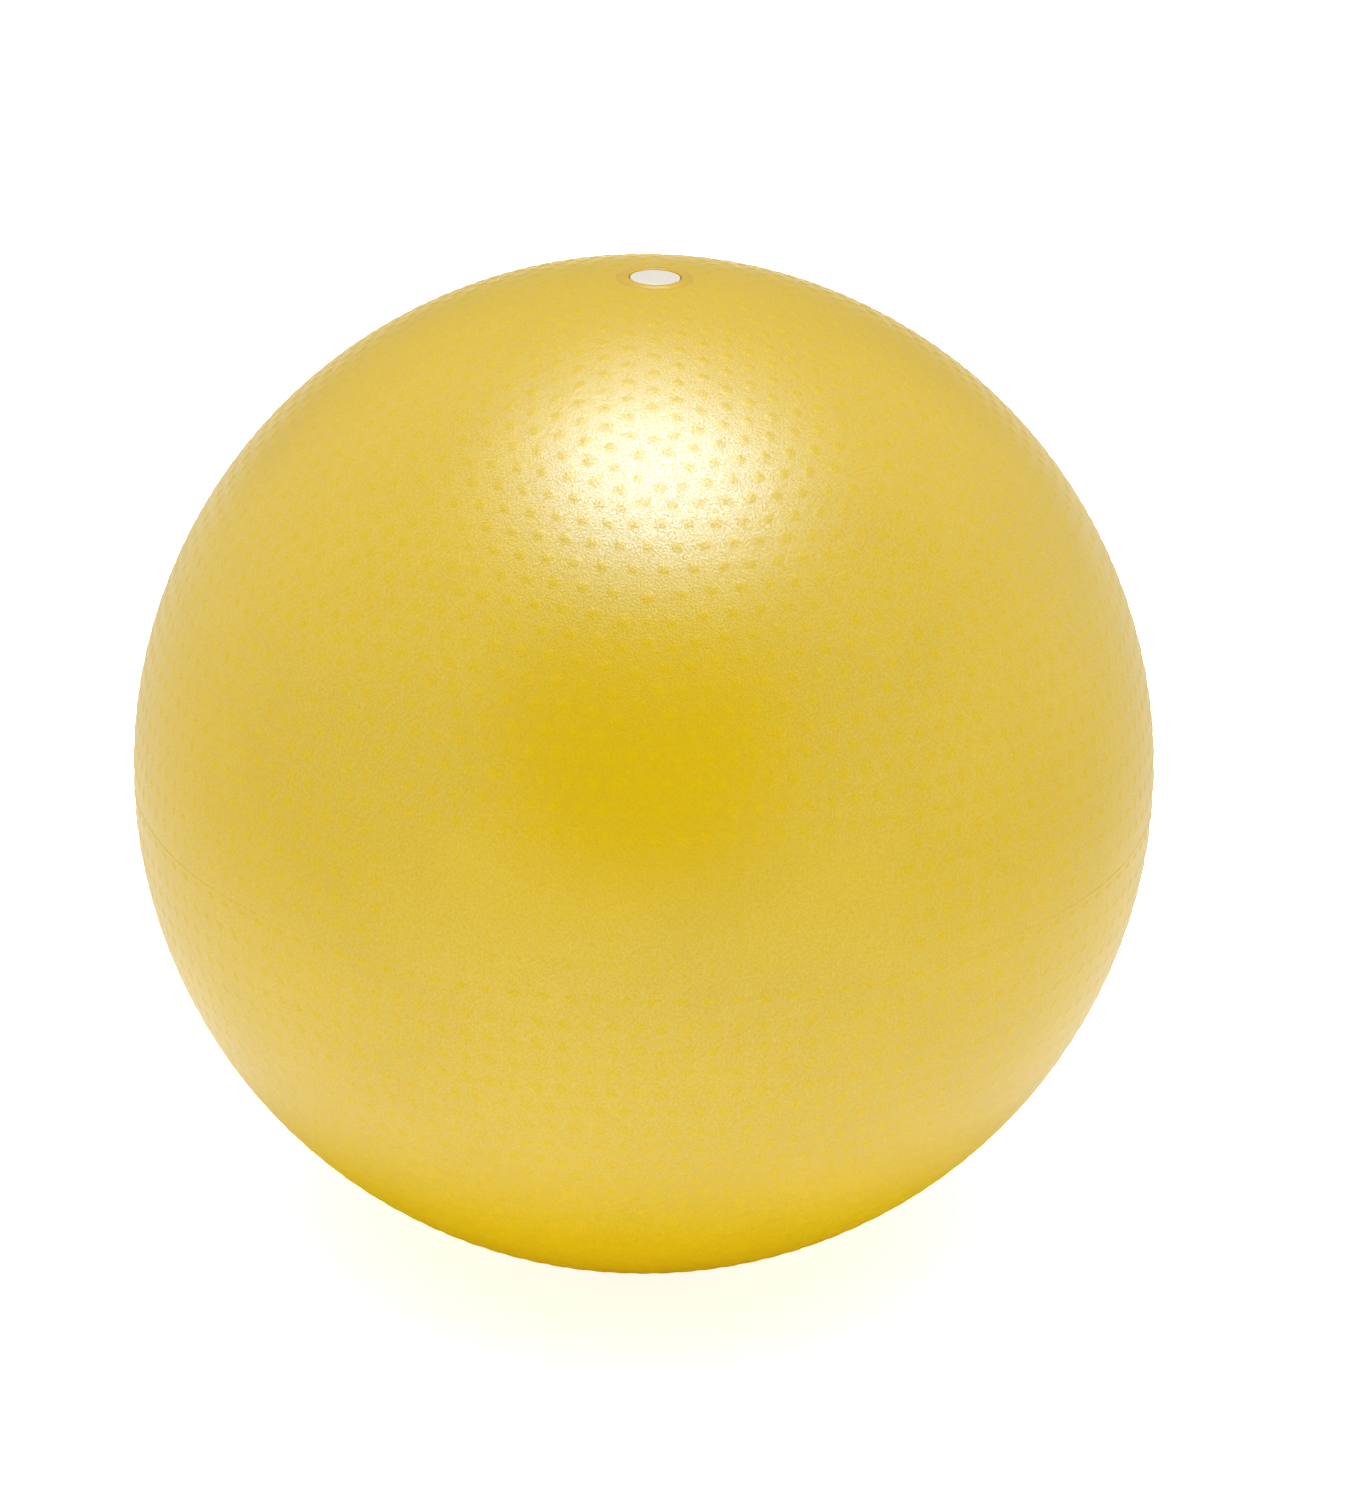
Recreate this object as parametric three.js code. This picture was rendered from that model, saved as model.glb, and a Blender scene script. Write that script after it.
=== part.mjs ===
// Mini Pilates ball: a hollow ball of soft vinyl, a valve seat bonded into its pole and a push-in plug.
// Millimetres, +Z up along the valve's axis, with the origin at the middle of the patch the ball rests on.

import * as THREE from "three";

// Ball
const BALL_DIAMETER = 250;
const WALL_THICKNESS = 0.7;
// A soft ball that holds little pressure flattens this wide under its own weight.
const REST_PATCH_DIAMETER = 30;

// Ridge that the two halves of the mould leave round the equator
const PARTING_LINE_WIDTH = 1;
const PARTING_LINE_HEIGHT = 0.3;

// Thicker vinyl round the valve: its depth under the seat's flange, and the width over which it fades away
const BOSS_FLOOR = 1.2;
const BOSS_FADE = 14;

// Push-in plug
const HEAD_DIAMETER = 12.2;
const HEAD_THICKNESS = 1.4;
const HEAD_CROWN = 0.3;
const HEAD_EDGE_RADIUS = 0.35;
// Height of the head's rim over the ball's own curve at the pole
const HEAD_PROUD = 0.3;
const SHANK_DIAMETER = 4.6;
const SHANK_LENGTH = 16;
const TIP_DIAMETER = 3;
const TIP_LENGTH = 3.5;
const RIB_COUNT = 3;
const RIB_HEIGHT = 0.4;
const RIB_WIDTH = 1.2;

// Valve seat
const LIP_WIDTH = 2.4;
const LIP_RISE = 0.5;
const FLANGE_FLOOR = 0.9;
const NECK_WALL = 1.8;
const NECK_LENGTH = 13;
const NECK_TAPER_LENGTH = 2;
const NECK_END_WALL = 1.1;
const BORE_LEAD_IN = 0.6;

// Clearances
const HEAD_CLEARANCE = 0.6;
const RIB_CLEARANCE = 0.15;
const SEAT_GAP = 0.2;
const BOND_GAP = 0.2;

// Finishes
const BALL_FINISH = { color: 0xdcb203, roughness: 0.42, metalness: 0 };
const SEAT_FINISH = { color: 0xd8a406, roughness: 0.3, metalness: 0 };
const PLUG_FINISH = { color: 0xe9e4d8, roughness: 0.4, metalness: 0 };

// Smoothness of the round surfaces
const BALL_SEGMENTS = 60;
const BALL_HALF_STEPS = 15;
const VALVE_SEGMENTS = 40;
const BEAD_STEPS = 6;
const FADE_STEPS = 6;
const CROWN_STEPS = 4;
const EDGE_STEPS = 2;

const ballRadius = BALL_DIAMETER / 2;
const innerRadius = ballRadius - WALL_THICKNESS;
const patchRadius = REST_PATCH_DIAMETER / 2;
const centreHeight = Math.sqrt(ballRadius ** 2 - patchRadius ** 2);
const poleHeight = centreHeight + ballRadius;

const headRadius = HEAD_DIAMETER / 2;
const shankRadius = SHANK_DIAMETER / 2;

const recessRadius = headRadius + HEAD_CLEARANCE;
const lipRadius = recessRadius + LIP_WIDTH;
const boreRadius = shankRadius + RIB_HEIGHT + RIB_CLEARANCE;
const neckRadius = boreRadius + NECK_WALL;
const socketRadius = lipRadius + BOND_GAP;
const neckHoleRadius = neckRadius + BOND_GAP;

// Levels of the valve, counted from the ball's curve at the pole
const headSeatLevel = HEAD_PROUD - HEAD_THICKNESS;
const recessLevel = headSeatLevel - SEAT_GAP;
const flangeLevel = recessLevel - FLANGE_FLOOR;
const socketLevel = flangeLevel - BOND_GAP;
const bossLevel = socketLevel - BOSS_FLOOR;

const point = (radius, height) => new THREE.Vector2(radius, height);

/** Height of a sphere's upper half over its centre, at a distance from its axis. */
function sphereHeight(sphereRadius, axisDistance) {
  return Math.sqrt(sphereRadius ** 2 - axisDistance ** 2);
}

/** Arc round the origin in equal steps. Angles run from straight down, 0, to straight up, pi. */
function meridian(radius, fromAngle, toAngle, steps) {
  return Array.from({ length: steps + 1 }, (_, step) => {
    const angle = THREE.MathUtils.lerp(fromAngle, toAngle, step / steps);
    return point(radius * Math.sin(angle), -radius * Math.cos(angle));
  });
}

/** Half-elliptical swelling on the right-hand side of the way from one point to another, both included. */
function bead(from, to, height) {
  const along = to.clone().sub(from);
  const outward = point(along.y, -along.x).normalize();
  return Array.from({ length: BEAD_STEPS + 1 }, (_, step) => {
    const angle = (Math.PI * step) / BEAD_STEPS;
    const place = from.clone().addScaledVector(along, (1 - Math.cos(angle)) / 2);
    return place.addScaledVector(outward, height * Math.sin(angle));
  });
}

/** Quarter turn of a small radius about a centre, from one angle to the next. */
function roundedEdge(centre, radius, fromAngle) {
  return Array.from({ length: EDGE_STEPS + 1 }, (_, step) => {
    const angle = fromAngle + (Math.PI / 2) * (step / EDGE_STEPS);
    return point(centre.x + radius * Math.cos(angle), centre.y + radius * Math.sin(angle));
  });
}

/** Solid of revolution about Z from a profile of radius and height. */
function revolve(profile, segments) {
  return new THREE.LatheGeometry(profile, segments).rotateX(Math.PI / 2);
}

/** Named solid of revolution whose profile's zero level stands at a height over the floor. */
function turnedPart(name, profile, segments, finish, height) {
  const mesh = new THREE.Mesh(revolve(profile, segments), new THREE.MeshStandardMaterial(finish));
  mesh.name = name;
  mesh.position.z = height;
  return mesh;
}

/** Ball with its open chamber, profiled about the ball's centre. */
function ballShell() {
  const halfLine = PARTING_LINE_WIDTH / 2;
  const lineAngle = Math.asin(halfLine / ballRadius);
  const patchAngle = Math.asin(patchRadius / ballRadius);
  const socketAngle = Math.PI - Math.asin(socketRadius / ballRadius);
  const lower = meridian(ballRadius, patchAngle, Math.PI / 2 - lineAngle, BALL_HALF_STEPS);
  const upper = meridian(ballRadius, Math.PI / 2 + lineAngle, socketAngle, BALL_HALF_STEPS);
  const partingLine = bead(lower.at(-1), upper[0], PARTING_LINE_HEIGHT).slice(1, -1);

  const fadeRadius = socketRadius + BOSS_FADE;
  const fadeEnd = point(fadeRadius, sphereHeight(innerRadius, fadeRadius));
  const fadeStart = point(socketRadius, ballRadius + bossLevel);
  const pull = BOSS_FADE / 2;
  const wallSlope = point(fadeEnd.y, -fadeEnd.x).normalize();
  const bossFade = new THREE.CubicBezierCurve(
    fadeStart,
    fadeStart.clone().add(point(pull, 0)),
    fadeEnd.clone().addScaledVector(wallSlope, -pull),
    fadeEnd,
  );

  const innerPatchLevel = WALL_THICKNESS - centreHeight;
  const innerPatchAngle = Math.acos(-innerPatchLevel / innerRadius);
  const fadeAngle = Math.PI - Math.asin(fadeRadius / innerRadius);
  const inner = meridian(innerRadius, fadeAngle, innerPatchAngle, 2 * BALL_HALF_STEPS);

  const profile = [
    point(0, -centreHeight),
    ...lower,
    ...partingLine,
    ...upper,
    point(socketRadius, ballRadius + socketLevel),
    point(neckHoleRadius, ballRadius + socketLevel),
    point(neckHoleRadius, ballRadius + bossLevel),
    ...bossFade.getPoints(FADE_STEPS),
    ...inner.slice(1),
    point(0, innerPatchLevel),
  ];
  return turnedPart("ball_shell", profile, BALL_SEGMENTS, BALL_FINISH, centreHeight);
}

/** Ring bonded into the pole: a flange with a rounded lip and a neck that reaches into the ball. */
function valveSeat() {
  const lipLevel = sphereHeight(ballRadius, lipRadius) - ballRadius;
  const neckEnd = recessLevel - NECK_LENGTH;
  const profile = [
    point(boreRadius, recessLevel - BORE_LEAD_IN),
    point(boreRadius, neckEnd),
    point(boreRadius + NECK_END_WALL, neckEnd),
    point(neckRadius, neckEnd + NECK_TAPER_LENGTH),
    point(neckRadius, flangeLevel),
    point(lipRadius, flangeLevel),
    ...bead(point(lipRadius, lipLevel), point(recessRadius, lipLevel), LIP_RISE),
    point(recessRadius, recessLevel),
    point(boreRadius + BORE_LEAD_IN, recessLevel),
    point(boreRadius, recessLevel - BORE_LEAD_IN),
  ];
  return turnedPart("valve_seat", profile, VALVE_SEGMENTS, SEAT_FINISH, poleHeight);
}

/** Stopper with a crowned head and sealing ribs, profiled about the seating face under its head. */
function plug() {
  const straightLength = SHANK_LENGTH - TIP_LENGTH;
  const ribPitch = straightLength / (RIB_COUNT + 1);
  const ribs = Array.from({ length: RIB_COUNT }, (_, rib) => {
    const middle = (rib + 1) * ribPitch - straightLength;
    const lowerEnd = point(shankRadius, middle - RIB_WIDTH / 2);
    const upperEnd = point(shankRadius, middle + RIB_WIDTH / 2);
    return bead(lowerEnd, upperEnd, RIB_HEIGHT);
  });

  const rimRadius = headRadius - HEAD_EDGE_RADIUS;
  const upperEdge = point(rimRadius, HEAD_THICKNESS - HEAD_EDGE_RADIUS);
  const crown = Array.from({ length: CROWN_STEPS }, (_, step) => {
    const share = (step + 1) / CROWN_STEPS;
    return point(rimRadius * (1 - share), HEAD_THICKNESS + HEAD_CROWN * (1 - (1 - share) ** 2));
  });

  const profile = [
    point(0, -SHANK_LENGTH),
    point(TIP_DIAMETER / 2, -SHANK_LENGTH),
    point(shankRadius, -straightLength),
    ...ribs.flat(),
    point(shankRadius, 0),
    point(rimRadius, 0),
    ...roundedEdge(upperEdge, HEAD_EDGE_RADIUS, 0),
    ...crown,
  ];
  return turnedPart("plug", profile, VALVE_SEGMENTS, PLUG_FINISH, poleHeight + headSeatLevel);
}

const miniPilatesBall = new THREE.Group();
miniPilatesBall.name = "mini_pilates_ball";
miniPilatesBall.add(ballShell(), valveSeat(), plug());

export default miniPilatesBall;
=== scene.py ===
"""Mini Pilates ball: the dotted vinyl skin, the valve collar and the plug, on a white studio floor."""

import math

import bmesh
import bpy
from bl_math import clamp, lerp, smoothstep
from mathutils import Matrix, Vector


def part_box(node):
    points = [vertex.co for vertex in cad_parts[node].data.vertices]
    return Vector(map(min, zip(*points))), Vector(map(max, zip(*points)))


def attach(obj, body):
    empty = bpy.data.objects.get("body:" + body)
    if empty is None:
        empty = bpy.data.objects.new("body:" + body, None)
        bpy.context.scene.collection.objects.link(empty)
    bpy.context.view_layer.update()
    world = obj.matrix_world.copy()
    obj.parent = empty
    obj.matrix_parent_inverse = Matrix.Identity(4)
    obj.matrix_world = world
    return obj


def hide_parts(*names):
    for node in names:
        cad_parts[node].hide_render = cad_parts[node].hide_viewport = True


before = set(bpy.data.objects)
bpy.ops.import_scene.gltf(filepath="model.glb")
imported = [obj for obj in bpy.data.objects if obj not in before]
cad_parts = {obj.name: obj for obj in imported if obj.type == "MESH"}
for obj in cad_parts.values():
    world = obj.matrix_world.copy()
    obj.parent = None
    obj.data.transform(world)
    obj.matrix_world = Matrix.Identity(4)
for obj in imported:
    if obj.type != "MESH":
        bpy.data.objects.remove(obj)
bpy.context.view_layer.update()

bl_info = {
    "name": "Mini Pilates Ball",
    "version": (1, 0, 0),
    "blender": (4, 5, 0),
    "location": "3D View > Sidebar > Pilates Ball",
    "description": "Builds the dotted vinyl ball, its valve collar and its plug round the packed part",
    "category": "Add Mesh",
}

MM = 0.001
UP = Vector((0, 0, 1))

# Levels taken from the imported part
NECK_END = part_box("valve_seat")[0].z
PLUG_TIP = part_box("plug")[0].z

# Closing of a mesh
MERGE_DISTANCE = 0.02 * MM
SHARP_ANGLE = math.radians(38)

# Net of points that the ball's relief grows from
SEAM_POINTS = 260
SOCKET_POINTS = 24
SOCKET_CUTS = 1
RELAX_ROUNDS = 31
SETTLE_ROUNDS = 6
RELAX_FACTOR = 0.5
BEAUTIFY_EVERY = 5
# Dots that end up nearer to each other than this many dot radii are joined.
LEAST_SPACING = 2.05

# Relief of the ball: a dot's shoulder is a share of its height, and the dashes are dots pressed flat
SHOULDER_SHARE = 0.9
DASH_REACH = 1.1
DASH_FLATNESS = 0.55
SEAM_SEGMENTS = 4
SEAM_FRONT_SHARE = 0.15

# The dots are low round the front and underneath, and grow to their full height over these angles.
FRONT_ELEVATION = math.radians(24)
FRONT_SPAN = (math.radians(48), math.radians(73))
UNDERSIDE_SPAN = (math.radians(-35), math.radians(-10))

# How matt the relief is. The dashes are the most matt and take the most of the darker dot colour, which
# also paints the shade that falls under the parting line's ridge.
DASH_MATT_AND_SHADE = 1
DOT_STRENGTH = 0.75
FAINT_STRENGTH = 0.3
SEAM_STRENGTH = 0.75

# Outside and inside of the ball's wall
OUTSIDE_SHARE = 1 / 3
GROUND_TOLERANCE = MERGE_DISTANCE / 4
FADE_STEPS = 6
INNER_STEPS = 26

# Turned pieces
VALVE_STEPS = 96
CORNER_RADIUS = 0.2 * MM
CORNER_STEPS = 3
QUARTER_TURN = math.pi / 2

# Collar: a hairline parts it from the ball, under a skirt that flares out to the socket
HAIRLINE = 0.01 * MM
SKIRT_DEPTH = 0.4 * MM
SKIRT_FLARE = 0.2 * MM
LIP_FOOT = 0.1 * MM
LIP_STEPS = 8
LIP_INNER_FALL = 0.45
RECESS_EDGE_RADIUS = 0.15 * MM
RECESS_EDGE_TURN = math.radians(80)

# Plug
TIP_EDGE_RADIUS = 0.3 * MM
RIB_COUNT = 3
RIB_STEPS = 8
HEAD_EDGE_TURN = math.radians(86)
HEAD_EDGE_STEPS = 5
CROWN_STEPS = 10

# Finishes: a scale counts a noise's swells in a metre, and a span is the range of it that is used
WHOLE_SPAN = (0, 1)
NOISE_SPAN = (0.3, 0.7)
CLOUD_SPAN = (0.35, 0.65)
CLOUD_DETAIL = 3
VINYL_IOR = 1.5
VINYL_GLOSS_TINT = (0.1, 0.47, 1, 1)

BALL_CLOUD_SCALE = 22
BALL_CLOUD_SHADE = 0.95
BALL_ROUGHNESS = (0.3, 0.277)
GRAIN_SCALE = 2100
GRAIN_ROUGHNESS = 0.6
# Grain colour: lighter on the raised pebbles and darker in their hollows, partly the vinyl's own tone and
# partly painted shade.
GRAIN_TONE_AND_SHADE = (0.94, 1.06)
GRAIN_GLEAM = (0.45, 1.55)
GRAIN_HEIGHT = 0.06 * MM
DOT_SPAN = (0.03, 1)
DOT_WEAR_SCALE = 130
DOT_WEAR = (0.85, 1.15)
GROUND_TO_DOT_GLEAM = (0.7, 0.32)

COLLAR_CLOUD_SCALE = 350
COLLAR_CLOUD_SHADE = 0.9
COLLAR_ROUGHNESS = (0.26, 0.34)
COLLAR_GLEAM = 0.6
COLLAR_TEXTURE_SCALE = 1500
COLLAR_TEXTURE_HEIGHT = 0.05 * MM

PLUG_CLOUD_SCALE = 260
PLUG_CLOUD_SHADE = 0.94
PLUG_ROUGHNESS = (0.34, 0.44)
PLUG_IOR = 1.49
PLUG_TEXTURE_SCALE = 1800
PLUG_TEXTURE_HEIGHT = 0.015 * MM

# Camera, for a picture of 1365 by 1500 pixels
SENSOR_WIDTH = 36
LENS = 97.06

# Floor: spans are distances from the ball's foot, in metres. Under the ball the floor has a painted warm
# shadow that the camera sees, a painted dark warm colour that indirect light and reflections see, and a
# painted glow there that stands in for light coming through the vinyl.
FLOOR_REACH = 6
# Painted shadow: over this span the painted warm shadow under the ball gives way to the floor's colour,
# where the camera looks.
PAINTED_SHADOW_SPAN = (0.05, 0.12)
# Painted shade: over this span the painted dark warm colour and the painted glow under the ball, which
# indirect light and reflections see, give way to the floor's.
PAINTED_UNDER_BALL_SPAN = (0.085, 0.135)
# Painted shadow colour of the floor under the ball, as indirect light and reflections see it, warmed as if
# by light through the vinyl.
PAINTED_UNDER_BALL_COLOUR = (0.64, 0.57, 0.045)
# Painted glow of the floor under the ball, standing in for light that comes through the vinyl.
PAINTED_UNDERGLOW_COLOUR = (0.2, 0.13, 0)
MIRRORED_SHARE = 0.2
FLOOR_GLOW = (0.82, 0.82, 0.82)
BLACK = (0, 0, 0)
WHITE = (1, 1, 1)

# Surroundings: walls that are dark in an opening on the camera's side, and dimmer behind the ball
OPENING_LIFT = math.radians(4)
OPENING_EDGE = (math.cos(math.radians(36)), math.cos(math.radians(29)))
WALL_TO_OPENING_LIGHT = (1.1, 0)
BACK_WALL_SPAN = (0.5, 1)
BACK_WALL_LIGHT = (1, 0.34)

# Lamps that only the gloss shows: name, width, radiance and place
GLOSS_LAMPS = (
    ("softbox_core", 0.72, 15.5, (0.02, -0.07, 1.25)),
    ("softbox_glow", 1.4, 1.5, (0.02, -0.03, 1.25)),
    ("lamp_behind", 0.1, 10, (-0.02, 0.42, 1.05)),
)

# Lamps that the gloss doesn't show: name, width, light on the ball, elevation and side.
# The side is -1 in front and 1 behind.
FILL_LAMPS = (
    ("front_fill", 1, 0.24, math.radians(48), -1),
    ("back_fill", 0.5, 0.13, math.radians(2), 1),
)
FILL_DISTANCE = 2

# Spot that lights the floor alone
WASH_PLACE = (0, -0.25, 1.2)
WASH_LIGHT = 1.05
WASH_WIDTH = 0.3
WASH_CONE = math.radians(46)
WASH_BLEND = 0.7


def length(name, description, millimetres):
    """Property for a size in metres, written in millimetres."""
    return bpy.props.FloatProperty(
        name=name, description=description, default=millimetres * MM, unit="LENGTH", precision=5, min=0
    )


def angle(name, description, degrees):
    """Property for an angle, written in degrees."""
    return bpy.props.FloatProperty(
        name=name, description=description, default=math.radians(degrees), subtype="ANGLE"
    )


def colour(name, description, red_green_blue):
    """Property for a linear colour."""
    return bpy.props.FloatVectorProperty(
        name=name, description=description, default=red_green_blue, subtype="COLOR", size=3, min=0, max=1
    )


class BallSkinSettings(bpy.types.PropertyGroup):
    """Sizes and colours of the dotted vinyl ball."""

    radius: length("Radius", "Radius of the ball between its dots", 125)
    wall: length("Wall", "Thickness of the vinyl", 0.7)
    boss_depth: length("Boss depth", "Depth under the pole of the thicker vinyl round the valve", 3.6)
    boss_fade: length("Boss fade", "Width over which the thicker vinyl fades into the wall", 14)
    rest_radius: length("Rest patch radius", "Radius of the flat patch under the ball", 15)
    dot_radius: length("Dot radius", "Radius of a dot's outline", 2.25)
    dot_inset: length("Dot shoulder", "Width of a dot's sloping shoulder", 1.05)
    dot_height: length("Dot height", "Height of a dot towards the top and the back", 0.21)
    low_dot_height: length("Low dot height", "Height of a dot round the front and underneath", 0.12)
    seam_width: length("Parting line width", "Width of the ridge round the equator", 0.8)
    seam_height: length("Parting line height", "Height of the ridge round the equator", 0.12)
    first_row_up: angle("First row over", "Latitude of the first row of dots over the parting line", 2.8)
    first_row_down: angle("First row under", "Depth of the first row of dots under the parting line", 1.3)
    first_pitch: angle("First row pitch", "Step between dots in the rows next to the parting line", 2.83)
    dash_depth: angle("Dash depth", "Depth that the first row is pressed to, as dashes", 0.92)
    row_step: angle("Row step", "Step between rows near the parting line", 2.7)
    row_pitch: angle("Row pitch", "Step between dots in a row near the parting line", 2.55)
    straight_limit: angle("Straight rows", "Latitude up to which the rows follow the parting line", 25)
    hex_pitch: angle("Packed pitch", "Step between dots near the poles, packed in triangles", 2.74)
    plain_radius: length("Plain disc radius", "Radius of the dot-free disc round the valve", 13)
    panel_half_width: angle("Panel half width", "Half of the longitude that the bare panel covers", 28)
    panel_low: angle("Panel low edge", "Lowest latitude of the bare panel", 4)
    panel_high: angle("Panel high edge", "Highest latitude of the bare panel", 14)
    ground: colour("Vinyl", "Colour of the vinyl between the dots", (0.772, 0.517, 0.001))
    dot: colour("Dots", "Colour of the vinyl on the dots", (0.748, 0.5, 0.0005))


class ValveCollarSettings(bpy.types.PropertyGroup):
    """Sizes and colour of the valve collar."""

    socket_radius: length("Socket radius", "Radius of the socket in the ball that the collar fills", 9.3)
    socket_depth: length("Socket depth", "Depth of the socket's floor under the pole", 2.4)
    flange_radius: length("Flange radius", "Radius of the flange under the ball's surface", 9.1)
    flange_thickness: length("Flange thickness", "Thickness of the flange under the recess", 0.9)
    lip_radius: length("Lip radius", "Radius at the foot of the collar's lip", 8.95)
    crest_radius: length("Crest radius", "Radius of the lip's crest", 7.3)
    lip_rise: length("Lip rise", "Height of the lip's crest over the ball's curve", 0.4)
    recess_radius: length("Recess radius", "Radius at which the lip turns down to the plug's head", 6.4)
    bore_radius: length("Bore radius", "Radius of the bore that the plug is pushed into", 2.85)
    lead_in: length("Lead-in", "Width of the bore's sloping mouth", 0.6)
    neck_radius: length("Neck radius", "Outer radius of the neck inside the ball", 4.65)
    neck_length: length("Neck length", "Length of the neck from the recess to its end", 13)
    neck_taper: length("Neck taper", "Length of the neck's tapered end", 2)
    neck_end_wall: length("Neck end wall", "Thickness of the neck at its end", 1.1)
    gap: length("Bond gap", "Gap between the collar's neck and the ball", 0.2)
    vinyl: colour("Collar vinyl", "Colour of the collar", (0.74, 0.46, 0.002))


class PlugSettings(bpy.types.PropertyGroup):
    """Sizes and colour of the plug."""

    head_radius: length("Head radius", "Radius of the plug's head", 5.95)
    head_thickness: length("Head thickness", "Thickness of the head at its rim", 1.05)
    crown: length("Crown", "Height of the head's middle over its rim", 0.1)
    edge_radius: length("Edge radius", "Radius of the head's upper edge", 0.25)
    shank_radius: length("Shank radius", "Radius of the shank between its ribs", 2.3)
    shank_length: length("Shank length", "Length of the shank from the head to its tip", 16)
    rib_height: length("Rib height", "Height of a sealing rib over the shank", 0.4)
    rib_width: length("Rib width", "Width of a sealing rib along the shank", 1.2)
    tip_radius: length("Tip radius", "Radius of the shank's tip", 1.5)
    tip_length: length("Tip length", "Length of the shank's tapered tip", 3.5)
    plastic: colour("Plug plastic", "Colour of the plug", (0.80, 0.75, 0.66))


class StageSettings(bpy.types.PropertyGroup):
    """Place of the camera, and colours of the floor, with its painted warm shadow under the ball."""

    camera_distance: length("Camera distance", "Distance of the camera from the ball's middle", 1000)
    elevation: angle("Camera elevation", "Height of the camera over the horizon", 23.8)
    roll: angle("Camera roll", "Turn of the camera about its line of sight", 1.27)
    aim_right: angle("Aim right", "Turn of the camera to the right of the ball's middle", 0.54)
    aim_up: angle("Aim up", "Turn of the camera above the ball's middle", 0.194)
    floor_colour: colour("Floor", "Colour of the studio floor", (0.7, 0.7, 0.7))
    # Painted warm shadow: a colour painted on the floor under the ball, for the camera.
    painted_warm_shadow_colour: colour("Shaded floor", "Colour of the floor under the ball", (0.95, 0.72, 0.06))


def settings():
    """Settings of the whole object, kept on the scene."""
    return bpy.context.scene.pilates_ball


def ramp(value, start, stop):
    """Share of the way from one value to another, between 0 and 1."""
    return clamp((value - start) / (stop - start))


def direction(elevation, side=-1):
    """Direction that rises by an angle, towards the front (-1) or the back (1)."""
    return Vector((0, side * math.cos(elevation), math.sin(elevation)))


def ball_centre(skin):
    """Middle of the ball, which stands on its flat patch."""
    return Vector((0, 0, math.sqrt(skin.radius**2 - skin.rest_radius**2)))


def sphere_height(skin, radius, axis_distance):
    """Height over the floor of a sphere round the ball's middle, at a distance from the axis."""
    return ball_centre(skin).z + math.sqrt(radius**2 - axis_distance**2)


def on_ball(vert, centre, radius):
    """Moves a vertex along its own radius to a distance from the ball's middle."""
    vert.co = centre + (vert.co - centre).normalized() * radius


def add_object(name, data):
    """Adds an object to the scene."""
    made = bpy.data.objects.new(name, data)
    bpy.context.scene.collection.objects.link(made)
    return made


def add_mesh(name, mesh):
    """Adds a bmesh to the scene as an object at the origin."""
    data = bpy.data.meshes.new(name)
    mesh.to_mesh(data)
    mesh.free()
    return add_object(name, data)


def add_piece(name, mesh):
    """Closes a bmesh, shades it smooth with crisp edges where it folds, and adds it to the scene."""
    bmesh.ops.remove_doubles(mesh, verts=mesh.verts, dist=MERGE_DISTANCE)
    bmesh.ops.recalc_face_normals(mesh, faces=mesh.faces)
    for face in mesh.faces:
        face.smooth = True
    for edge in mesh.edges:
        edge.smooth = edge.calc_face_angle(0) < SHARP_ANGLE
    return add_mesh(name, mesh)


class Outline:
    """Half section of a turned piece, drawn from point to point by radius and height."""

    def __init__(self, radius, height):
        self.mesh = bmesh.new()
        self.start = self.mesh.verts.new((radius, 0, height))
        self.end = self.start

    def line(self, radius, height):
        """Draws straight on to a radius and a height."""
        self.end = bmesh.ops.extrude_vert_indiv(self.mesh, verts=[self.end])["verts"][0]
        self.end.co = (radius, 0, height)

    def arc(self, centre_radius, centre_height, turn, steps):
        """Draws on round a centre. A positive turn goes from outwards to up."""
        made = bmesh.ops.spin(
            self.mesh,
            geom=[self.end],
            cent=(centre_radius, 0, centre_height),
            axis=(0, -1, 0),
            angle=turn,
            steps=steps,
        )
        self.end = made["geom_last"][0]

    def close(self):
        """Draws straight back to the start."""
        self.mesh.edges.new((self.end, self.start))

    def turned(self, steps):
        """Spins the half section about the valve's axis into a closed surface."""
        bmesh.ops.spin(
            self.mesh,
            geom=self.mesh.verts[:] + self.mesh.edges[:],
            cent=(0, 0, 0),
            axis=UP,
            angle=2 * math.pi,
            steps=steps,
            use_merge=True,
        )
        return self.mesh


# Ball


def row_latitudes(skin, first_row):
    """Latitudes of the rows of dots from the equator on, with the step between dots in each row."""
    yield first_row, skin.first_pitch
    latitude = first_row + skin.row_step
    while latitude < skin.straight_limit:
        yield latitude, skin.row_pitch
        latitude += skin.row_step
    while math.cos(latitude) > skin.hex_pitch:
        yield latitude, skin.hex_pitch
        latitude += skin.hex_pitch * math.sqrt(3) / 2


def ring(mesh, skin, latitude, count, phase):
    """Ring of points on the ball's curve."""
    place = Matrix.Translation(ball_centre(skin) + UP * skin.radius * math.sin(latitude))
    return bmesh.ops.create_circle(
        mesh,
        segments=count,
        radius=skin.radius * math.cos(latitude),
        matrix=place @ Matrix.Rotation(phase, 4, "Z"),
    )["verts"]


def off_front(spot):
    """Longitude of a point of the ball, counted from the front to either side."""
    return abs(math.atan2(spot.x, -spot.y))


def latitude_of(spot):
    """Latitude of a point of the ball, over or under the parting line."""
    return math.asin(clamp(spot.z / spot.length, -1, 1))


def in_panel(skin, spot):
    """Whether a point of the ball lies on the bare panel, which faces the front."""
    return off_front(spot) < skin.panel_half_width and skin.panel_low < latitude_of(spot) < skin.panel_high


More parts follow.
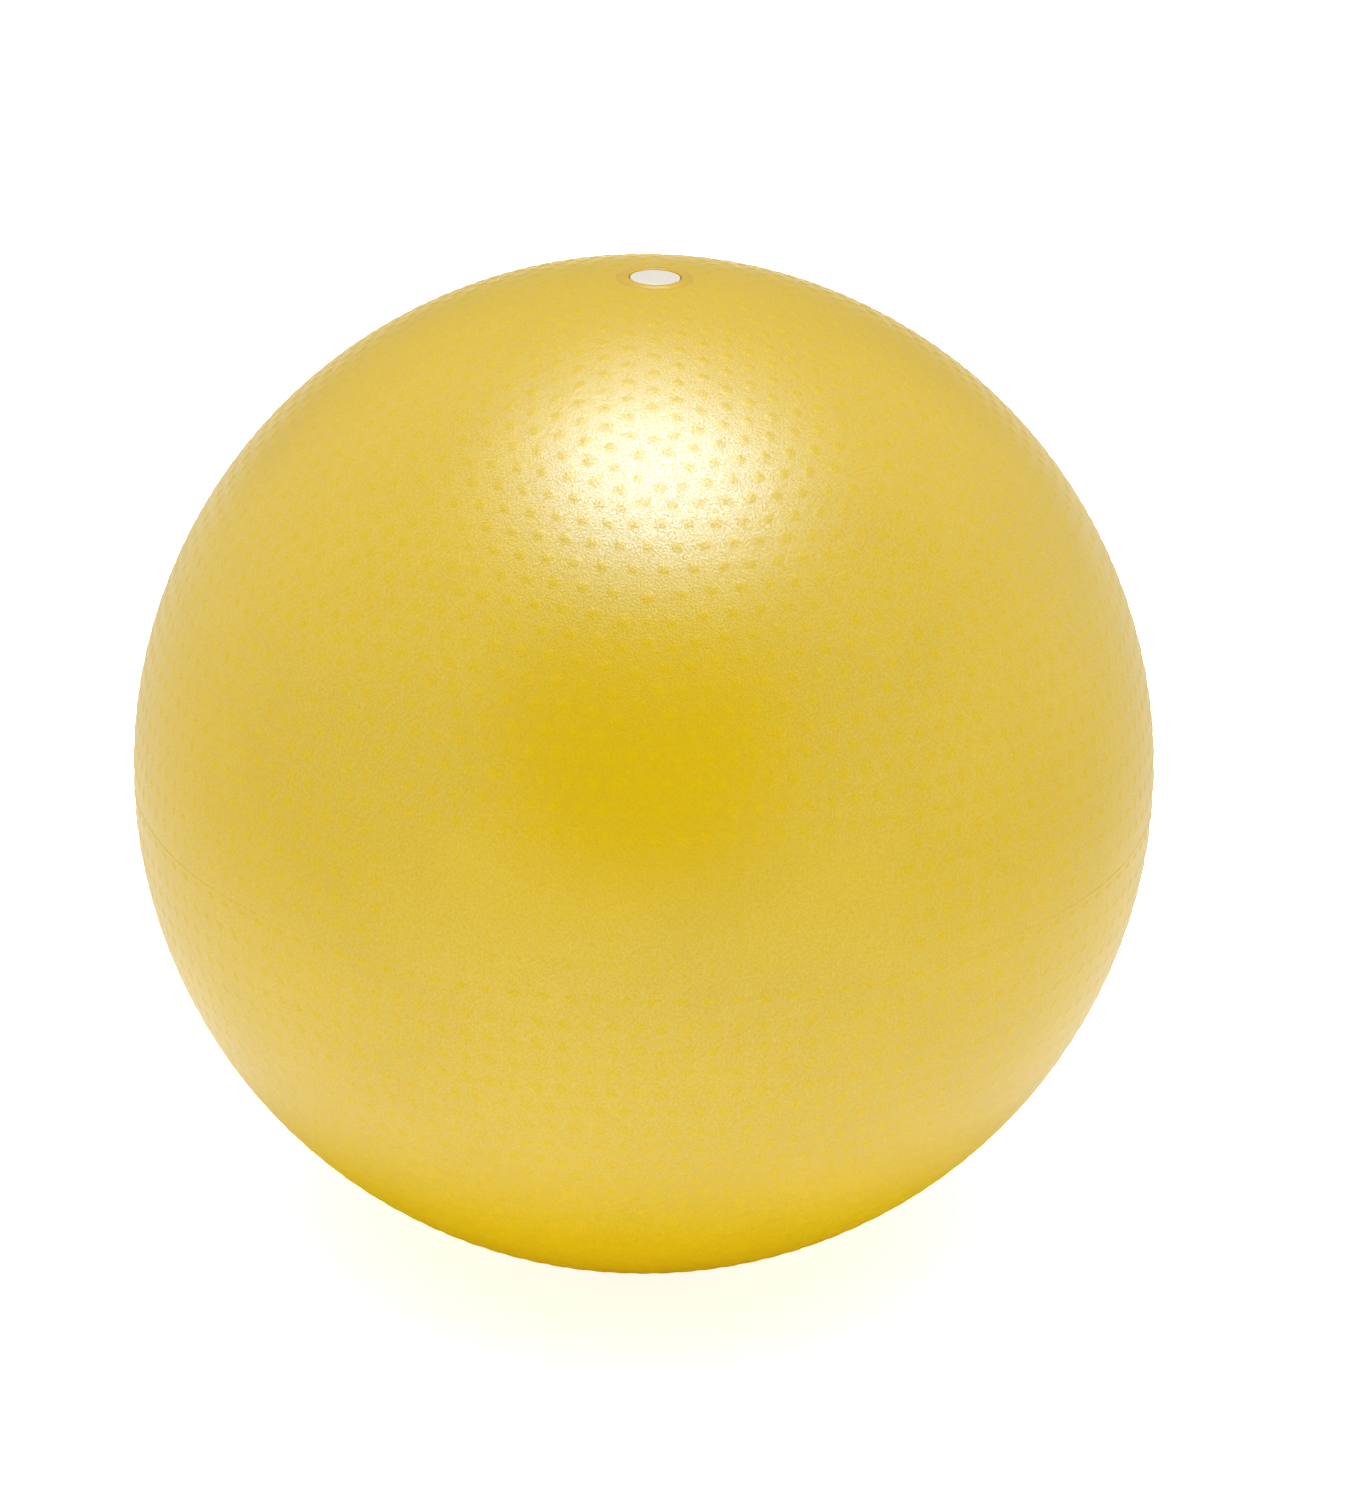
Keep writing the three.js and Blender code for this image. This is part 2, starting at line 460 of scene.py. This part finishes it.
def dot_rise(skin, spot):
    """Height of a dot: least round the front and underneath, and most towards the top and the back."""
    away = ramp(spot.angle(direction(FRONT_ELEVATION)), *FRONT_SPAN)
    away *= ramp(latitude_of(spot), *UNDERSIDE_SPAN)
    return lerp(skin.low_dot_height, skin.dot_height, away)


def dot_strength(skin, spot):
    """How matt a dot is: the dashes under the parting line most, and the row under the bare panel least.
    The dashes' extra mattness is partly painted shade under the parting line's ridge.
    """
    latitude = latitude_of(spot)
    if -skin.row_step < latitude < 0:
        # Partly painted shade: the dashes are darkest, as if shaded by the ridge above them.
        return DASH_MATT_AND_SHADE
    if 0 < latitude < skin.panel_low and off_front(spot) < skin.panel_half_width:
        return FAINT_STRENGTH
    return DOT_STRENGTH


def lay_points(mesh, skin, socket_radius):
    """Lays the dots, the parting line and the valve's socket on the ball, and wraps them in one net."""
    ring(mesh, skin, 0, SEAM_POINTS, 0)
    ring(mesh, skin, math.acos(socket_radius / skin.radius), SOCKET_POINTS, 0)
    dots = []
    for side, first_row in ((1, skin.first_row_up), (-1, skin.first_row_down)):
        for row, (latitude, pitch) in enumerate(row_latitudes(skin, first_row)):
            if side > 0 and skin.radius * math.cos(latitude) < skin.plain_radius:
                break
            count = max(3, round(2 * math.pi * math.cos(latitude) / pitch))
            dots += ring(mesh, skin, side * latitude, count, math.pi / count * (row % 2))
    bmesh.ops.convex_hull(mesh, input=mesh.verts[:])
    bmesh.ops.delete(mesh, geom=[edge for edge in mesh.edges if not edge.link_faces], context="EDGES")
    return dots


def relax(mesh, skin, dots):
    """Evens out the dots beyond the straight rows, and joins the few that crowd each other."""
    centre = ball_centre(skin)
    limit = skin.radius * math.sin(skin.straight_limit)
    loose = [vert for vert in dots if abs(vert.co.z - centre.z) > limit]
    for rounds in (RELAX_ROUNDS, SETTLE_ROUNDS):
        for round_number in range(rounds):
            bmesh.ops.smooth_vert(
                mesh,
                verts=loose,
                factor=RELAX_FACTOR,
                use_axis_x=True,
                use_axis_y=True,
                use_axis_z=True,
            )
            for vert in loose:
                on_ball(vert, centre, skin.radius)
            if round_number % BEAUTIFY_EVERY == 0:
                bmesh.ops.beautify_fill(mesh, faces=mesh.faces[:], edges=mesh.edges[:], method="ANGLE")
        bmesh.ops.remove_doubles(mesh, verts=dots, dist=LEAST_SPACING * skin.dot_radius)
        dots = [vert for vert in dots if vert.is_valid]
        loose = [vert for vert in loose if vert.is_valid]
    return dots


def raise_dots(mesh, skin, dots):
    """Turns each point of the rows into a low round dot, and notes how matt each of its vertices is."""
    centre = ball_centre(skin)
    matt = mesh.verts.layers.float["matt"]
    cut = bmesh.ops.bevel(
        mesh,
        geom=dots,
        offset=skin.dot_radius,
        offset_type="OFFSET",
        segments=1,
        profile=0.5,
        affect="VERTICES",
        material=-1,
        clamp_overlap=True,
    )
    caps = cut["faces"]
    bmesh.ops.inset_individual(mesh, faces=caps, thickness=skin.dot_inset, use_even_offset=True)
    shoulders = {vert for face in caps for vert in face.verts}
    for vert in mesh.verts:
        on_ball(vert, centre, skin.radius)
    for vert in shoulders:
        spot = vert.co - centre
        on_ball(vert, centre, skin.radius + SHOULDER_SHARE * dot_rise(skin, spot))
        vert[matt] = SHOULDER_SHARE * dot_strength(skin, spot)
    tops = bmesh.ops.poke(mesh, faces=caps)["verts"]
    for vert in tops:
        spot = vert.co - centre
        on_ball(vert, centre, skin.radius + dot_rise(skin, spot))
        vert[matt] = dot_strength(skin, spot)


def press_dashes(mesh, skin):
    """Presses the first row under the parting line into low dashes close to it."""
    centre = ball_centre(skin)
    reach = DASH_REACH * skin.dot_radius / skin.radius
    for vert in mesh.verts:
        spot = vert.co - centre
        above_row = latitude_of(spot) + skin.first_row_down
        if abs(above_row) < reach:
            latitude = DASH_FLATNESS * above_row - skin.dash_depth
            flat = Vector((spot.x, spot.y, 0)).normalized()
            vert.co = centre + (flat * math.cos(latitude) + UP * math.sin(latitude)) * spot.length


def raise_seam(mesh, skin):
    """Rolls the equator's edges into the ridge of the parting line, which is faint in front."""
    centre = ball_centre(skin)
    level = [
        edge
        for edge in mesh.edges
        if all(abs(vert.co.z - centre.z) < MERGE_DISTANCE for vert in edge.verts)
    ]
    rolled = bmesh.ops.bevel(
        mesh,
        geom=level,
        offset=skin.seam_width / 2,
        offset_type="OFFSET",
        segments=SEAM_SEGMENTS,
        profile=0.5,
        affect="EDGES",
        material=-1,
        loop_slide=True,
    )
    matt = mesh.verts.layers.float["matt"]
    for vert in rolled["verts"]:
        across = min(1, abs(vert.co.z - centre.z) / (skin.seam_width / 2))
        crown = math.sqrt(1 - across**2)
        sideways = ramp(off_front(vert.co - centre), skin.panel_half_width, 2 * skin.panel_half_width)
        rise = skin.seam_height * lerp(SEAM_FRONT_SHARE, 1, sideways)
        on_ball(vert, centre, skin.radius + rise * crown)
        vert[matt] = SEAM_STRENGTH * sideways * crown


def open_socket(mesh, skin, socket_radius):
    """Opens the pole for the valve and rounds the opening."""
    centre = ball_centre(skin)
    reach = socket_radius + MERGE_DISTANCE
    lids = [
        face
        for face in mesh.faces
        if all(vert.co.z > centre.z and vert.co.xy.length < reach for vert in face.verts)
    ]
    bmesh.ops.delete(mesh, geom=lids, context="FACES")
    edge_loop = [edge for edge in mesh.edges if edge.is_boundary]
    cut = bmesh.ops.subdivide_edges(mesh, edges=edge_loop, cuts=SOCKET_CUTS)
    height = sphere_height(skin, skin.radius, socket_radius)
    for item in cut["geom_inner"]:
        if isinstance(item, bmesh.types.BMVert):
            flat = item.co.xy.normalized() * socket_radius
            item.co = (flat.x, flat.y, height)


def inner_wall(skin, collar):
    """Socket of the valve, the thicker vinyl under it and the inside of the ball, as one surface."""
    centre = ball_centre(skin)
    pole = centre.z + skin.radius
    socket_radius = collar.socket_radius
    socket_floor = pole - collar.socket_depth
    neck_hole = collar.neck_radius + collar.gap
    boss_floor = pole - skin.boss_depth
    fade_radius = socket_radius + skin.boss_fade
    inner = skin.radius - skin.wall

    outline = Outline(socket_radius, sphere_height(skin, skin.radius, socket_radius))
    outline.line(socket_radius, socket_floor)
    outline.line(neck_hole, socket_floor)
    outline.line(neck_hole, boss_floor)
    outline.line(socket_radius, boss_floor)
    for step in range(1, FADE_STEPS + 1):
        share = step / FADE_STEPS
        radius = lerp(socket_radius, fade_radius, share)
        outline.line(radius, lerp(boss_floor, sphere_height(skin, inner, radius), smoothstep(0, 1, share)))
    start = math.asin(fade_radius / inner)
    stop = math.pi - math.acos((centre.z - skin.wall) / inner)
    outline.arc(0, centre.z, start - stop, INNER_STEPS)
    outline.line(0, skin.wall)
    return outline.turned(SOCKET_POINTS * (SOCKET_CUTS + 1))


def append(mesh, other):
    """Adds another bmesh to this one."""
    data = bpy.data.meshes.new("part_of_a_piece")
    other.to_mesh(data)
    other.free()
    mesh.from_mesh(data)
    bpy.data.meshes.remove(data)


def round_ground(data, skin):
    """Shades the ground between the dots as the true ball, so that its small faces don't show."""
    centre = ball_centre(skin)
    normals = [Vector()] * len(data.loops)
    for face in data.polygons:
        if (face.center - centre).length < skin.radius - OUTSIDE_SHARE * skin.wall:
            continue
        for corner in face.loop_indices:
            spot = data.vertices[data.loops[corner].vertex_index].co - centre
            if abs(spot.length - skin.radius) < GROUND_TOLERANCE:
                normals[corner] = spot.normalized()
    data.normals_split_custom_set(normals)


class PILATES_OT_ball_skin(bpy.types.Operator):
    """Build the ball with its dots, parting line, valve socket and inside"""

    bl_idname = "pilates.ball_skin"
    bl_label = "Build Ball Skin"

    def execute(self, context):
        skin, collar = settings().skin, settings().collar
        centre = ball_centre(skin)
        mesh = bmesh.new()
        mesh.verts.layers.float.new("matt")
        dots = relax(mesh, skin, lay_points(mesh, skin, collar.socket_radius))
        raise_dots(mesh, skin, [vert for vert in dots if not in_panel(skin, vert.co - centre)])
        press_dashes(mesh, skin)
        raise_seam(mesh, skin)
        open_socket(mesh, skin, collar.socket_radius)
        for vert in mesh.verts:
            vert.co.z = max(vert.co.z, 0)
        append(mesh, inner_wall(skin, collar))
        piece = add_piece("ball_skin", mesh)
        round_ground(piece.data, skin)
        piece.data.materials.append(yellow_vinyl(skin))
        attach(piece, "ball")
        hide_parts("ball_shell")
        return {"FINISHED"}


# Valve collar and plug


def draw_lip(outline, skin, collar):
    """Draws the lip over the ball's curve: a soft rise to its crest, and a short fall to the recess."""
    for step in range(1, LIP_STEPS + 1):
        share = step / LIP_STEPS
        radius = lerp(collar.lip_radius, collar.crest_radius, share)
        rise = collar.lip_rise * (1 - math.cos(math.pi * share)) / 2
        outline.line(radius, sphere_height(skin, skin.radius, radius) + rise)
    for step in range(1, LIP_STEPS + 1):
        share = step / LIP_STEPS
        radius = lerp(collar.crest_radius, collar.recess_radius, share)
        rise = collar.lip_rise * (1 - LIP_INNER_FALL * share**2)
        outline.line(radius, sphere_height(skin, skin.radius, radius) + rise)


class PILATES_OT_valve_collar(bpy.types.Operator):
    """Build the collar that is bonded into the pole, with its lip, recess, bore and neck"""

    bl_idname = "pilates.valve_collar"
    bl_label = "Build Valve Collar"

    def execute(self, context):
        skin, collar = settings().skin, settings().collar
        recess = NECK_END + collar.neck_length
        flange = recess - collar.flange_thickness
        skirt_radius = collar.socket_radius - HAIRLINE
        skirt_end = sphere_height(skin, skin.radius, collar.lip_radius) - SKIRT_DEPTH
        bore_edge = collar.bore_radius + CORNER_RADIUS

        outline = Outline(collar.bore_radius, recess - collar.lead_in)
        outline.line(collar.bore_radius, NECK_END + CORNER_RADIUS)
        outline.arc(bore_edge, NECK_END + CORNER_RADIUS, QUARTER_TURN, CORNER_STEPS)
        outline.line(collar.bore_radius + collar.neck_end_wall, NECK_END)
        outline.line(collar.neck_radius, NECK_END + collar.neck_taper)
        outline.line(collar.neck_radius, flange)
        outline.line(collar.flange_radius, flange)
        outline.line(collar.flange_radius, skirt_end - SKIRT_FLARE)
        outline.line(skirt_radius, skirt_end)
        for radius in (skirt_radius, collar.lip_radius + LIP_FOOT, collar.lip_radius):
            outline.line(radius, sphere_height(skin, skin.radius, radius))
        draw_lip(outline, skin, collar)
        lip_end = outline.end.co.z
        outline.arc(collar.recess_radius, lip_end - RECESS_EDGE_RADIUS, RECESS_EDGE_TURN, CORNER_STEPS)
        recess_wall = outline.end.co.x
        outline.line(recess_wall, recess + CORNER_RADIUS)
        outline.arc(recess_wall - CORNER_RADIUS, recess + CORNER_RADIUS, -QUARTER_TURN, CORNER_STEPS)
        outline.line(collar.bore_radius + collar.lead_in, recess)
        outline.close()
        piece = add_piece("valve_collar", outline.turned(VALVE_STEPS))
        piece.data.materials.append(collar_vinyl(collar))
        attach(piece, "ball")
        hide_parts("valve_seat")
        return {"FINISHED"}


def draw_ribs(outline, plug, low, high):
    """Draws the sealing ribs, evenly spaced between two levels of the shank."""
    pitch = (high - low) / (RIB_COUNT + 1)
    for rib in range(RIB_COUNT):
        middle = low + pitch * (rib + 1)
        for step in range(RIB_STEPS + 1):
            turn = math.pi * step / RIB_STEPS
            radius = plug.shank_radius + plug.rib_height * math.sin(turn)
            outline.line(radius, middle - plug.rib_width / 2 * math.cos(turn))


class PILATES_OT_plug(bpy.types.Operator):
    """Build the push-in plug with its crowned head and ribbed shank"""

    bl_idname = "pilates.plug"
    bl_label = "Build Plug"

    def execute(self, context):
        plug = settings().plug
        shoulder = PLUG_TIP + plug.tip_length
        seat = PLUG_TIP + plug.shank_length
        rim = seat + plug.head_thickness
        tip_edge = plug.tip_radius - TIP_EDGE_RADIUS
        lower_edge = plug.head_radius - CORNER_RADIUS
        upper_edge = plug.head_radius - plug.edge_radius

        outline = Outline(0, PLUG_TIP)
        outline.line(tip_edge, PLUG_TIP)
        outline.arc(tip_edge, PLUG_TIP + TIP_EDGE_RADIUS, QUARTER_TURN, CORNER_STEPS)
        outline.line(plug.shank_radius, shoulder)
        draw_ribs(outline, plug, shoulder, seat)
        outline.line(plug.shank_radius, seat)
        outline.line(lower_edge, seat)
        outline.arc(lower_edge, seat + CORNER_RADIUS, QUARTER_TURN, CORNER_STEPS)
        outline.line(plug.head_radius, rim - plug.edge_radius)
        outline.arc(upper_edge, rim - plug.edge_radius, HEAD_EDGE_TURN, HEAD_EDGE_STEPS)
        for step in range(1, CROWN_STEPS + 1):
            share = 1 - step / CROWN_STEPS
            outline.line(upper_edge * share, rim + plug.crown * (1 - share**2))
        piece = add_piece("plug_stopper", outline.turned(VALVE_STEPS))
        piece.data.materials.append(plug_plastic(plug))
        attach(piece, "stopper")
        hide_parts("plug")
        return {"FINISHED"}


# Finishes


class NodeTree:
    """Nodes of a material or of the world, under construction."""

    def __init__(self, owner):
        owner.use_nodes = True
        self.owner = owner
        self.nodes = owner.node_tree.nodes
        self.links = owner.node_tree.links
        self.coordinates = self.nodes.new("ShaderNodeTexCoord").outputs

    def feed(self, socket, value):
        """Links a socket to an output, or sets its value."""
        if isinstance(value, bpy.types.NodeSocket):
            self.links.new(value, socket)
        else:
            socket.default_value = value

    def node(self, kind, **inputs):
        """New node with inputs given by name."""
        node = self.nodes.new(kind)
        for name, value in inputs.items():
            self.feed(node.inputs[name], value)
        return node

    def work_out(self, kind, *values, **modes):
        """New node in a mode, with its inputs in order. Gives its result."""
        node = self.nodes.new(kind)
        for name, mode in modes.items():
            setattr(node, name, mode)
        for socket, value in zip([socket for socket in node.inputs if socket.enabled], values):
            self.feed(socket, value)
        return next(socket for socket in node.outputs if socket.enabled)

    def multiply(self, first, second):
        """Product of two numbers."""
        return self.work_out("ShaderNodeMath", first, second, operation="MULTIPLY")

    def spread(self, value, span, target=WHOLE_SPAN, smooth=False):
        """Maps a number from a span to a target range, and stops at the ends."""
        shape = "SMOOTHSTEP" if smooth else "LINEAR"
        return self.work_out("ShaderNodeMapRange", value, *span, *target, interpolation_type=shape)

    def mix(self, share, first, second):
        """Mixes two colours."""
        tints = [tint if isinstance(tint, bpy.types.NodeSocket) else (*tint, 1) for tint in (first, second)]
        return self.work_out("ShaderNodeMix", share, *tints, data_type="RGBA")


class Finish(NodeTree):
    """A material under construction, with its patterns in the piece's own coordinates."""

    def __init__(self, name):
        super().__init__(bpy.data.materials.new(name))
        self.shader = self.nodes["Principled BSDF"]
        self.place = self.coordinates["Object"]

    def noise(self, scale, detail=2, roughness=0.5):
        """Noise all through the piece."""
        node = self.node(
            "ShaderNodeTexNoise", Vector=self.place, Scale=scale, Detail=detail, Roughness=roughness
        )
        return node.outputs["Fac"]

    def clouded(self, tint, shade, scale):
        """Colour that soft clouds darken to a share of itself, and the clouds."""
        cloud = self.noise(scale, CLOUD_DETAIL)
        darker = tuple(channel * shade for channel in tint)
        return self.mix(self.spread(cloud, CLOUD_SPAN), tuple(tint), darker), cloud

    def bump(self, height, distance):
        """Relief of a depth in metres."""
        return self.node("ShaderNodeBump", Height=height, Distance=distance, Strength=1).outputs["Normal"]

    def shade(self, **inputs):
        """Sets the shader's own sockets, with _ for the spaces in their names."""
        for name, value in inputs.items():
            self.feed(self.shader.inputs[name.replace("_", " ")], value)
        return self.owner


def yellow_vinyl(skin):
    """Soft vinyl with a fine grain of pebbles, and dots that gleam less than the ground between them. The
    grain's colour is lighter on its pebbles and darker in its hollows, partly the vinyl's own tone and
    partly painted shade.
    """
    finish = Finish("yellow_vinyl")
    matt = finish.node("ShaderNodeAttribute")
    matt.attribute_name = "matt"
    wear = finish.spread(finish.noise(DOT_WEAR_SCALE, detail=1), NOISE_SPAN, DOT_WEAR)
    dot = finish.multiply(finish.spread(matt.outputs["Fac"], DOT_SPAN), wear)
    grain = finish.noise(GRAIN_SCALE, detail=1, roughness=GRAIN_ROUGHNESS)
    ground, _ = finish.clouded(skin.ground, BALL_CLOUD_SHADE, BALL_CLOUD_SCALE)
    base = finish.mix(dot, ground, tuple(skin.dot))
    # Partly painted shade: the colour follows the grain's relief, darker where the grain dips.
    pebble_tone_and_shade = finish.spread(grain, NOISE_SPAN, GRAIN_TONE_AND_SHADE)
    gleam = finish.spread(dot, WHOLE_SPAN, GROUND_TO_DOT_GLEAM)
    return finish.shade(
        Base_Color=finish.work_out("ShaderNodeVectorMath", base, pebble_tone_and_shade, operation="SCALE"),
        Roughness=finish.spread(grain, NOISE_SPAN, BALL_ROUGHNESS),
        IOR=VINYL_IOR,
        Specular_IOR_Level=finish.multiply(gleam, finish.spread(grain, NOISE_SPAN, GRAIN_GLEAM)),
        Specular_Tint=VINYL_GLOSS_TINT,
        Normal=finish.bump(grain, GRAIN_HEIGHT),
    )


def collar_vinyl(collar):
    """Smooth, deeper vinyl with faint flow marks."""
    finish = Finish("collar_vinyl")
    base, cloud = finish.clouded(collar.vinyl, COLLAR_CLOUD_SHADE, COLLAR_CLOUD_SCALE)
    return finish.shade(
        Base_Color=base,
        Roughness=finish.spread(cloud, NOISE_SPAN, COLLAR_ROUGHNESS),
        IOR=VINYL_IOR,
        Specular_IOR_Level=COLLAR_GLEAM,
        Specular_Tint=VINYL_GLOSS_TINT,
        Normal=finish.bump(finish.noise(COLLAR_TEXTURE_SCALE), COLLAR_TEXTURE_HEIGHT),
    )


def plug_plastic(plug):
    """Slightly milky white plastic with a faint moulded texture."""
    finish = Finish("plug_plastic")
    base, cloud = finish.clouded(plug.plastic, PLUG_CLOUD_SHADE, PLUG_CLOUD_SCALE)
    return finish.shade(
        Base_Color=base,
        Roughness=finish.spread(cloud, NOISE_SPAN, PLUG_ROUGHNESS),
        IOR=PLUG_IOR,
        Normal=finish.bump(finish.noise(PLUG_TEXTURE_SCALE), PLUG_TEXTURE_HEIGHT),
    )


# Stage


def studio_floor(stage):
    """Plain pale floor that the camera sees as white, with the ball's cast shadow; under the ball it has a
    painted warm shadow, a painted dark warm colour for indirect light and reflections, and a painted glow
    standing in for light through the vinyl.
    """
    finish = Finish("studio_floor")
    pale = tuple(stage.floor_colour)
    apart = finish.work_out("ShaderNodeVectorMath", finish.place, operation="LENGTH")
    # Painted warm shadow under the ball, where the camera looks.
    painted_shadow_fade = finish.spread(apart, PAINTED_SHADOW_SPAN)
    painted_under_ball_mask = finish.spread(apart, PAINTED_UNDER_BALL_SPAN)
    ray = finish.node("ShaderNodeLightPath").outputs
    seen = ray["Is Camera Ray"]
    # Painted dark warm shadow under the ball, for indirect light and reflections.
    painted_under_ball_tint = finish.mix(painted_under_ball_mask, PAINTED_UNDER_BALL_COLOUR, pale)
    base = finish.mix(seen, painted_under_ball_tint, finish.mix(painted_shadow_fade, tuple(stage.painted_warm_shadow_colour), pale))
    finish.shade(Base_Color=base, Roughness=1, Specular_IOR_Level=0)
    mirrored = finish.multiply(ray["Is Glossy Ray"], MIRRORED_SHARE)
    # Painted glow under the ball for indirect light and reflections; elsewhere reflections see the floor
    # faintly lit up to white.
    light = finish.mix(painted_under_ball_mask, PAINTED_UNDERGLOW_COLOUR, finish.mix(mirrored, BLACK, WHITE))
    glow = finish.node("ShaderNodeEmission", Color=finish.mix(seen, light, FLOOR_GLOW), Strength=1)
    lit = finish.work_out("ShaderNodeAddShader", finish.shader.outputs["BSDF"], glow.outputs["Emission"])
    finish.feed(finish.nodes["Material Output"].inputs["Surface"], lit)
    return finish.owner


def studio_world(towards_opening):
    """White surroundings, whose opening and dimmer back wall only reflections and soft light see."""
    tree = NodeTree(bpy.data.worlds.new("studio"))
    around = tree.coordinates["Generated"]
    facing = tree.work_out("ShaderNodeVectorMath", around, towards_opening, operation="DOT_PRODUCT")
    opening = tree.spread(facing, OPENING_EDGE, WALL_TO_OPENING_LIGHT, smooth=True)
    depth = tree.node("ShaderNodeSeparateXYZ", Vector=around).outputs["Y"]
    wall = tree.multiply(opening, tree.spread(depth, BACK_WALL_SPAN, BACK_WALL_LIGHT, smooth=True))
    seen = tree.node("ShaderNodeLightPath").outputs["Is Camera Ray"]
    light = tree.work_out("ShaderNodeMix", seen, wall, 1, data_type="FLOAT")
    background = tree.nodes["Background"]
    tree.feed(background.inputs["Color"], (*WHITE, 1))
    tree.feed(background.inputs["Strength"], light)
    bpy.context.scene.world = tree.owner


def set_camera(stage, centre):
    """Puts the camera where the ball is seen from above its front, and turns it to frame the ball."""
    lens = bpy.data.cameras.new("camera")
    lens.sensor_width = SENSOR_WIDTH
    lens.lens = LENS
    towards = direction(stage.elevation)
    turn = (-towards).to_track_quat("-Z", "Y").to_matrix().to_4x4()
    turn = turn @ Matrix.Rotation(stage.roll, 4, "Z")
    turn = turn @ Matrix.Rotation(-stage.aim_right, 4, "Y") @ Matrix.Rotation(stage.aim_up, 4, "X")
    camera = add_object("camera", lens)
    camera.matrix_world = Matrix.Translation(centre + towards * stage.camera_distance) @ turn
    bpy.context.scene.camera = camera


def lay_floor(stage):
    """Lays the studio floor under the ball."""
    mesh = bmesh.new()
    bmesh.ops.create_grid(mesh, x_segments=1, y_segments=1, size=FLOOR_REACH)
    floor = add_mesh("floor", mesh)
    floor.data.materials.append(studio_floor(stage))
    return floor


def soft_lamp(name, width, power, place, centre):
    """Round soft lamp that faces the ball."""
    lamp = bpy.data.lights.new(name, "AREA")
    lamp.shape = "DISK"
    lamp.size = width
    lamp.energy = power
    light = add_object(name, lamp)
    aim = (place - centre).to_track_quat("Z", "Y").to_matrix().to_4x4()
    light.matrix_world = Matrix.Translation(place) @ aim
    return light


def hang_lamps(centre, floor):
    """Hangs the lamps for the ball's gloss, the spot for the floor and the fills for soft light."""
    for name, width, radiance, place in GLOSS_LAMPS:
        power = radiance * math.pi**2 * (width / 2) ** 2
        soft_lamp(name, width, power, Vector(place), centre).visible_diffuse = False

    washed = bpy.data.collections.new("washed")
    washed.objects.link(floor)
    lamp = bpy.data.lights.new("floor_wash", "SPOT")
    lamp.shadow_soft_size = WASH_WIDTH
    lamp.spot_size = WASH_CONE
    lamp.spot_blend = WASH_BLEND
    lamp.energy = WASH_LIGHT * 4 * math.pi**2 * WASH_PLACE[2] ** 2
    wash = add_object("floor_wash", lamp)
    wash.location = WASH_PLACE
    wash.light_linking.receiver_collection = washed

    for name, width, level, elevation, side in FILL_LAMPS:
        power = level * math.pi**2 * FILL_DISTANCE**2
        place = centre + direction(elevation, side) * FILL_DISTANCE
        soft_lamp(name, width, power, place, centre).visible_glossy = False


class PILATES_OT_stage(bpy.types.Operator):
    """Set up the camera, the white floor and the soft light"""

    bl_idname = "pilates.stage"
    bl_label = "Set Up Stage"

    def execute(self, context):
        stage = settings().stage
        centre = ball_centre(settings().skin)
        set_camera(stage, centre)
        hang_lamps(centre, lay_floor(stage))
        studio_world(direction(stage.elevation + OPENING_LIFT))
        context.scene.view_settings.view_transform = "Standard"
        return {"FINISHED"}


# Add-on


class PilatesBallSettings(bpy.types.PropertyGroup):
    """Settings of the whole object."""

    skin: bpy.props.PointerProperty(name="Ball", description="Vinyl ball", type=BallSkinSettings)
    collar: bpy.props.PointerProperty(name="Collar", description="Valve collar", type=ValveCollarSettings)
    plug: bpy.props.PointerProperty(name="Plug", description="Push-in plug", type=PlugSettings)
    stage: bpy.props.PointerProperty(name="Stage", description="Camera and floor", type=StageSettings)


class PILATES_PT_panel(bpy.types.Panel):
    """Lists the operators and their settings"""

    bl_idname = "PILATES_PT_panel"
    bl_label = "Mini Pilates Ball"
    bl_space_type = "VIEW_3D"
    bl_region_type = "UI"
    bl_category = "Pilates Ball"

    def draw(self, context):
        for operator, group in (
            (PILATES_OT_ball_skin, settings().skin),
            (PILATES_OT_valve_collar, settings().collar),
            (PILATES_OT_plug, settings().plug),
            (PILATES_OT_stage, settings().stage),
        ):
            box = self.layout.box()
            box.operator(operator.bl_idname)
            for name in group.__annotations__:
                box.prop(group, name)


CLASSES = (
    BallSkinSettings,
    ValveCollarSettings,
    PlugSettings,
    StageSettings,
    PilatesBallSettings,
    PILATES_OT_ball_skin,
    PILATES_OT_valve_collar,
    PILATES_OT_plug,
    PILATES_OT_stage,
    PILATES_PT_panel,
)


def register():
    """Registers the classes and keeps the settings on the scene."""
    for cls in CLASSES:
        bpy.utils.register_class(cls)
    bpy.types.Scene.pilates_ball = bpy.props.PointerProperty(
        name="Mini Pilates ball",
        description="Sizes and colours of the ball and its stage",
        type=PilatesBallSettings,
    )


def unregister():
    """Takes the settings and the classes away again."""
    del bpy.types.Scene.pilates_ball
    for cls in reversed(CLASSES):
        bpy.utils.unregister_class(cls)


def main():
    """Builds every piece and the stage."""
    register()
    bpy.ops.pilates.ball_skin()
    bpy.ops.pilates.valve_collar()
    bpy.ops.pilates.plug()
    bpy.ops.pilates.stage()


if __name__ == "__main__":
    main()
